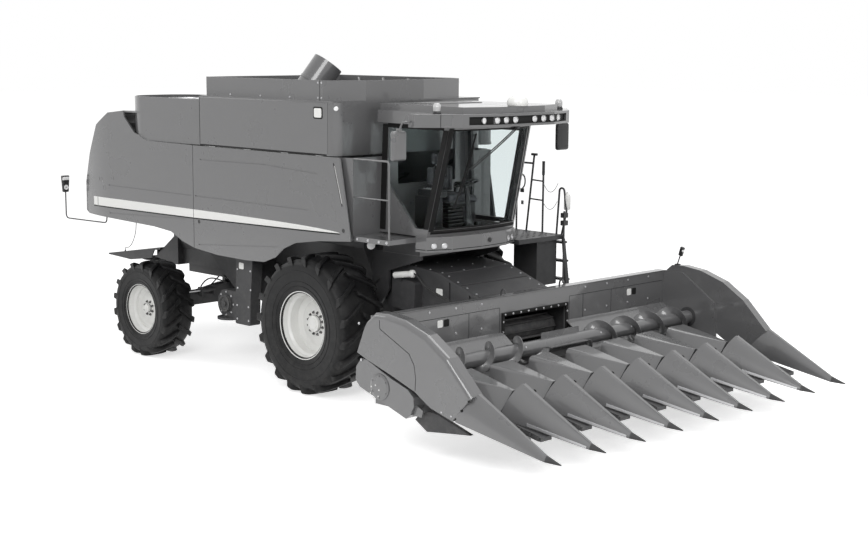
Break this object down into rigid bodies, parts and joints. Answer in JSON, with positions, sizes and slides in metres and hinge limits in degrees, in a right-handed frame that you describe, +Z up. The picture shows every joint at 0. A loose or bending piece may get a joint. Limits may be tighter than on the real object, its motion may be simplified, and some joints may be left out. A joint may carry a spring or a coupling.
{
  "type": "combine harvester",
  "caption": "Self-propelled combine harvester with glazed cab, grain tank, folded unloading auger, lift-mounted maize row header, big drive wheels and steered rear wheels.",
  "frame": {"origin": "on the ground under the middle of the machine's overall box", "axes": "+X forward to the header, +Y to the machine's left, +Z up"},
  "size_m": [13.01, 6.452, 4.9743],
  "materials": {
    "body_enamel": "glossy mid-grey enamel",
    "chassis_dark": "satin dark paint",
    "engine_iron": "painted casting",
    "tyre_rubber": "matt rubber",
    "rim_pale": "pale gloss enamel",
    "glass": "lightly tinted",
    "lamp_clear": "clear lens",
    "black_plastic": "black moulding",
    "seat_fabric": "dark woven",
    "steel_bright": "hard chrome",
    "cylinder_paint": "satin paint"
  },
  "bodies": {
    "chassis": {"main_frame": "chassis_dark", "separator_body": "chassis_dark", "front_axle": "chassis_dark", "rear_axle": "chassis_dark", "engine_block": "engine_iron", "rear_shields": "body_enamel", "rear_hood": "body_enamel", "intake_hood": "body_enamel", "grain_tank": "body_enamel", "tank_extension": "body_enamel", "loading_auger_tube": "body_enamel", "front_corner_panels": "body_enamel", "cab_frame": "body_enamel", "cab_glass": "glass", "cab_roof": "body_enamel", "cab_fascia": "body_enamel", "cab_seat": "seat_fabric", "cab_controls": "black_plastic", "roof_lamps": "lamp_clear", "mirrors": "black_plastic", "walkway_right": "body_enamel", "platform_left": "body_enamel", "elevator_right": "body_enamel", "spreader_deck": "chassis_dark", "rear_lamp_brackets": "chassis_dark", "fascia_lamps": "lamp_clear"},
    "side_shield_left": {"side_shield_left": "body_enamel"},
    "side_shield_right": {"side_shield_right": "body_enamel"},
    "cab_door": {"cab_door": "body_enamel", "cab_door_glass": "glass"},
    "ladder": {"ladder": "chassis_dark"},
    "unloading_auger": {"unloading_auger": "body_enamel"},
    "header": {"feeder_house": "body_enamel", "header_frame": "body_enamel", "auger_trough": "body_enamel", "row_units": "chassis_dark", "row_hoods": "body_enamel", "snouts": "body_enamel", "snout_tips": "black_plastic", "end_shields": "body_enamel", "drive_covers": "body_enamel", "header_lamp": "lamp_clear", "header_skids": "chassis_dark"},
    "cross_auger": {"cross_auger": "body_enamel"},
    "front_wheel_left": {"front_tyre_left": "tyre_rubber", "front_rim_left": "rim_pale"},
    "knuckle_left": {"knuckle_left": "chassis_dark"},
    "rear_wheel_left": {"rear_tyre_left": "tyre_rubber", "rear_rim_left": "rim_pale"},
    "lift_barrel_left": {"lift_barrel_left": "cylinder_paint"},
    "lift_rod_left": {"lift_rod_left": "steel_bright"},
    "front_wheel_right": {"front_tyre_right": "tyre_rubber", "front_rim_right": "rim_pale"},
    "knuckle_right": {"knuckle_right": "chassis_dark"},
    "rear_wheel_right": {"rear_tyre_right": "tyre_rubber", "rear_rim_right": "rim_pale"},
    "lift_barrel_right": {"lift_barrel_right": "cylinder_paint"},
    "lift_rod_right": {"lift_rod_right": "steel_bright"}
  },
  "joints": [
    {"name": "front_wheel_left_roll", "type": "hinge", "parent": "chassis", "child": "front_wheel_left", "pos_m": [0.39, 1.48, 1.035], "axis": [0, 1, 0], "continuous": true},
    {"name": "steer_left", "type": "hinge", "parent": "chassis", "child": "knuckle_left", "pos_m": [-3.61, 1.27, 0.83], "axis": [0, 0, 1], "range_deg": [-30, 30]},
    {"name": "rear_wheel_left_roll", "type": "hinge", "parent": "knuckle_left", "child": "rear_wheel_left", "pos_m": [-3.61, 1.695, 0.785], "axis": [0, 1, 0], "continuous": true},
    {"name": "side_shield_left_hinge", "type": "hinge", "parent": "chassis", "child": "side_shield_left", "pos_m": [-0.81, 1.54, 3.523], "axis": [1, 0, 0], "range_deg": [0, 65]},
    {"name": "front_wheel_right_roll", "type": "hinge", "parent": "chassis", "child": "front_wheel_right", "pos_m": [0.39, -1.48, 1.035], "axis": [0, 1, 0], "continuous": true},
    {"name": "steer_right", "type": "hinge", "parent": "chassis", "child": "knuckle_right", "pos_m": [-3.61, -1.27, 0.83], "axis": [0, 0, 1], "range_deg": [-30, 30]},
    {"name": "rear_wheel_right_roll", "type": "hinge", "parent": "knuckle_right", "child": "rear_wheel_right", "pos_m": [-3.61, -1.695, 0.785], "axis": [0, 1, 0], "continuous": true},
    {"name": "side_shield_right_hinge", "type": "hinge", "parent": "chassis", "child": "side_shield_right", "pos_m": [-0.81, -1.54, 3.523], "axis": [-1, 0, 0], "range_deg": [0, 65]},
    {"name": "cab_door_hinge", "type": "hinge", "parent": "chassis", "child": "cab_door", "pos_m": [1.19, 0.925, 3.2], "axis": [0, 0, 1], "range_deg": [0, 80]},
    {"name": "ladder_swing", "type": "hinge", "parent": "chassis", "child": "ladder", "pos_m": [1.58, 2.012, 1.5], "axis": [0, 0, 1], "range_deg": [0, 90]},
    {"name": "unloading_swing", "type": "hinge", "parent": "chassis", "child": "unloading_auger", "pos_m": [0.54, 1.75, 3.86], "axis": [0, 0, -1], "range_deg": [0, 100]},
    {"name": "header_lift", "type": "hinge", "parent": "chassis", "child": "header", "pos_m": [1.04, 0, 1.7], "axis": [0, -1, 0], "range_deg": [-3.3, 12]},
    {"name": "cross_auger_spin", "type": "hinge", "parent": "header", "child": "cross_auger", "pos_m": [3.81, 0, 1.03], "axis": [0, 1, 0], "continuous": true},
    {"name": "lift_barrel_left_pin", "type": "hinge", "parent": "chassis", "child": "lift_barrel_left", "pos_m": [0.54, 0.56, 0.76], "axis": [0, -1, 0], "range_deg": [-2.88, 9.16]},
    {"name": "lift_rod_left_slide", "type": "slide", "parent": "lift_barrel_left", "child": "lift_rod_left", "axis": [1, 0, 0], "range_m": [-0.0574, 0.1956]},
    {"name": "lift_barrel_right_pin", "type": "hinge", "parent": "chassis", "child": "lift_barrel_right", "pos_m": [0.54, -0.56, 0.76], "axis": [0, -1, 0], "range_deg": [-2.88, 9.16]},
    {"name": "lift_rod_right_slide", "type": "slide", "parent": "lift_barrel_right", "child": "lift_rod_right", "axis": [1, 0, 0], "range_m": [-0.0574, 0.1956]}
  ],
  "couplings": [
    {"joint": "steer_right", "follows": "steer_left", "ratio": 1},
    {"joint": "lift_barrel_left_pin", "follows": "header_lift", "ratio": 0.7214},
    {"joint": "lift_rod_left_slide", "follows": "header_lift", "m_per_rad": 0.9099},
    {"joint": "lift_barrel_right_pin", "follows": "header_lift", "ratio": 0.7214},
    {"joint": "lift_rod_right_slide", "follows": "header_lift", "m_per_rad": 0.9099}
  ]
}
